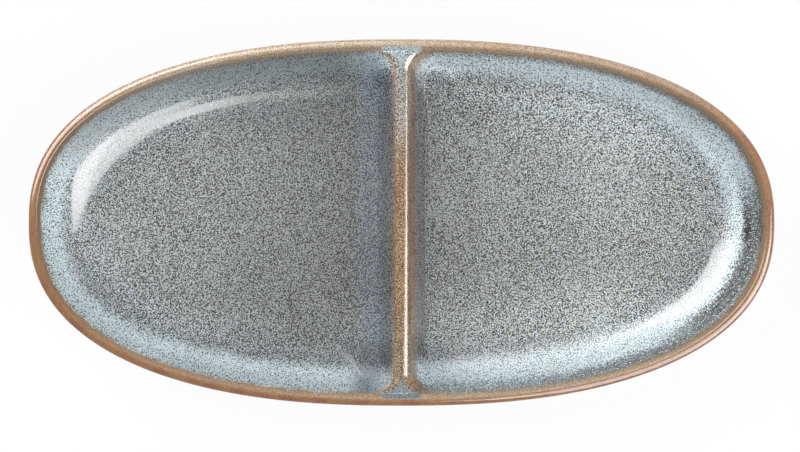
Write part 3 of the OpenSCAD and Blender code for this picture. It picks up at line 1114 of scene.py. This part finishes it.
def glaze_material(name, ior, upright):
    """Reactive glaze: brown where it is thin over edges, blue on the walls, mottled grey where it pools,
    with painted light and shade.
    """
    g = Graph(name, upright)
    x, y, _ = g.axes()
    edge = g.attribute("edge")
    patch = g.attribute("patch")
    wall = g.attribute("wall")
    speck = g.noise(SPECK_SCALE, 0.6)
    tint = g.noise(TINT_SCALE, 1.0)
    mottle = g.noise(MOTTLE_SCALE, 2.0)
    cloud = g.noise(CLOUD_SCALE, 2.0)

    # Boundaries wander with the mottle and break up with the specks, and brown is worn right of the crest
    wander = g.spread(mottle, MOTTLE_WANDER)
    broken = g.spread(speck, SPECK_WANDER)
    worn = g.times(g.ease(x, 0.0020, 0.0032), g.ease(x, 0.0120, 0.0060))
    run = g.plus(edge, wander, broken, g.times(worn, -WORN_BACK))
    bare_edge = g.ease(run, g.between(worn, 0.5, 1.3), g.between(worn, -0.7, -1.1))
    ends = g.math("MAXIMUM", g.ease(y, 0.039, 0.050), g.ease(y, -0.046, -0.053))
    patch_share = g.times(g.ease(g.plus(patch, broken), 2.3, 3.5), ends)
    outside_share = g.ease(run, -LIP_LENGTH + 1.6, -LIP_LENGTH - 0.6)

    pool, pale_share, crystal = well_colour(g, x, y, g.plus(wall, wander), speck, tint, cloud)
    brown = edge_colour(g, x, y, edge, patch, wall, speck, mottle)
    blue = g.scaled(g.mix(pale_share, WALL_SPOT, WALL_PALE), g.ease(y, -0.02, 0.02, 0.30, 0.57))
    colour = g.mix(bare_edge, pool, g.mix(patch_share, brown, blue))
    brim_line = g.times(brim_share(g, x, y, run), g.ease(patch_share, 0.0, 0.5, 1.0, 0.0))
    colour = g.mix(brim_line, colour, BRIM_DARK)
    colour = g.mix(outside_share, colour, g.mix(pale_share, WALL_SPOT, OUTSIDE_PALE))
    g.show("Base Color", colour)

    # Pale crystals are matt, and the dark glass between them is glossy
    pool_rough = g.between(crystal, GLASS_ROUGH, CRYSTAL_ROUGH)
    g.show("Roughness", g.between(bare_edge, pool_rough, GLASS_ROUGH))
    g.show("IOR", ior)
    g.show("Normal", g.bump(g.plus(speck, g.times(mottle, MOTTLE_RELIEF)), GLAZE_RELIEF))
    return g.material


def clay_material():
    """Bare fired stoneware, matt and gritty, with iron specks."""
    g = Graph("bare_stoneware")
    grit = g.noise(GRIT_SCALE, 3.0, 0.6)
    iron = g.noise(IRON_SCALE, 1.0)
    cloud = g.noise(CLAY_CLOUD_SCALE, 3.0)
    clay = g.mix(g.ease(cloud, 0.3, 0.7), CLAY_PALE, CLAY_DARK)
    clay = g.mix(g.ease(iron, 0.66, 0.74), clay, CLAY_IRON)
    clay = g.scaled(clay, g.ease(grit, 0.25, 0.75, 0.86, 1.10))
    g.show("Base Color", clay)
    g.show("Roughness", g.ease(grit, 0.2, 0.8, *CLAY_ROUGH))
    g.show("Normal", g.bump(grit, CLAY_RELIEF, CLAY_RELIEF_SHARE))
    return g.material


def make_dish():
    """All pieces of the dish."""
    lining = lining_form()
    forms = {
        "left_lining": (lining.mirrored(), "left_well_glaze", "well_glaze", "well_glaze"),
        "right_lining": (lining, "right_well_glaze", "well_glaze", "well_glaze"),
        "lip_coat": (lip_form(), "rim_glaze", "edge_glaze", "edge_glaze"),
        "crest_coat": (crest_form(), "divider_glaze", "edge_glaze", "crest_glaze"),
        "outside_coat": (outside_form(), "outside_glaze", "outside_glaze", "outside_glaze"),
    }
    normals = shared_normals([form for form, *_ in forms.values()])
    glazes = {look: glaze_material(look, *values) for look, values in GLAZE_LOOKS.items()}
    for name, (form, node, slot, look) in forms.items():
        given = flush_normals() if name == "crest_coat" else None
        make_piece(name, form, node, glazes[look], normals, tight=slot == "well_glaze", given=given)
    under = glazes["outside_glaze"]
    make_piece("base_coat", base_form(), "base_glaze", under, sharp=CRISP_ANGLE)
    clay = clay_material()
    members = {
        "clay_foot": (foot_form(), "foot_ring"),
        "clay_body": (body_form(), "stoneware_shell"),
        "clay_divider": (divider_form(), "divider_wall"),
    }
    for name, (form, node) in members.items():
        make_piece(name, form, node, clay, sharp=CRISP_ANGLE)


def seen_share(tree):
    """1 for what the camera sees itself, in gloss or through glass, and 0 for other light."""
    rays = add_node(tree, "LightPath", {}).outputs
    share = rays["Is Camera Ray"]
    for ray in ("Is Glossy Ray", "Is Transmission Ray"):
        share = add_node(tree, "Math", {0: share, 1: rays[ray]}, operation="MAXIMUM").outputs[0]
    return share


def make_stage():
    """Pale floor that looks white to the camera and keeps a faint shadow."""
    mesh = bpy.data.meshes.new("floor")
    r = FLOOR_REACH
    mesh.from_pydata([(-r, -r, 0), (r, -r, 0), (r, r, 0), (-r, r, 0)], [], [(0, 1, 2, 3)])
    floor = add_object("floor", mesh)
    material = bpy.data.materials.new("pale_floor")
    material.use_nodes = True
    tree = material.node_tree
    tree.nodes.clear()
    diffuse = add_node(tree, "BsdfDiffuse", {"Color": FLOOR_COLOUR}).outputs[0]
    glow = add_node(tree, "Emission", {"Strength": 1.0}).outputs[0]
    share = add_node(tree, "Math", {0: seen_share(tree), 1: FLOOR_WHITE}, operation="MULTIPLY").outputs[0]
    mixed = add_node(tree, "MixShader", {0: share, 1: diffuse, 2: glow}).outputs[0]
    add_node(tree, "OutputMaterial", {"Surface": mixed})
    mesh.materials.append(material)


def make_world():
    """Dim even light, with a white background for the camera."""
    world = bpy.data.worlds.new("studio")
    bpy.context.scene.world = world
    world.use_nodes = True
    tree = world.node_tree
    background = tree.nodes["Background"].inputs
    levels = {"Value": seen_share(tree), "To Min": WORLD_LEVEL, "To Max": 1.0}
    put(tree, background["Color"], (1, 1, 1, 1))
    put(tree, background["Strength"], add_node(tree, "MapRange", levels).outputs["Result"])


def make_softbox(name, side, lean, distance, across, along, radiance, gloss):
    """Area lamp that leans over the dish from a side, both angles in degrees. Its plane lies at a
    distance from the origin, in metres, and on that plane it reaches across, down from the middle,
    and along, to the left of the side's direction. One for gloss shows as a reflection alone, and
    any other lights the colours alone."""
    lamp = bpy.data.lights.new(name, "AREA")
    lamp.shape = "RECTANGLE"
    lamp.size = across[1] - across[0]
    lamp.size_y = along[1] - along[0]
    lamp.energy = radiance * lamp.size * lamp.size_y * math.pi
    light = add_object(name, lamp)
    a, z = math.radians(side), math.radians(lean)
    down, left = sum(across) / 2, sum(along) / 2
    out = distance * math.sin(z) + down * math.cos(z)
    light.location = (
        out * math.cos(a) - left * math.sin(a),
        out * math.sin(a) + left * math.cos(a),
        distance * math.cos(z) - down * math.sin(z),
    )
    light.rotation_mode = "XYZ"
    light.rotation_euler = (0, z, a)
    light.visible_diffuse = not gloss
    light.visible_glossy = gloss


def make_camera():
    """Long lens straight above the dish, framed as the photograph is."""
    data = bpy.data.cameras.new("camera")
    data.sensor_fit = "HORIZONTAL"
    data.sensor_width = SENSOR_WIDTH
    data.lens = SENSOR_WIDTH * CAMERA_DISTANCE / (IMAGE_WIDTH * MM_PER_PIXEL * MM)
    camera = add_object("camera", data)
    camera.location = (
        -DISH_MIDDLE_PX[0] * MM_PER_PIXEL * MM,
        -DISH_MIDDLE_PX[1] * MM_PER_PIXEL * MM,
        LIP_Z * MM + CAMERA_DISTANCE,
    )
    bpy.context.scene.camera = camera


bpy.context.scene.view_settings.view_transform = "Standard"
make_camera()
make_dish()
make_stage()
make_world()
for lamp_row in LAMPS:
    make_softbox(*lamp_row)
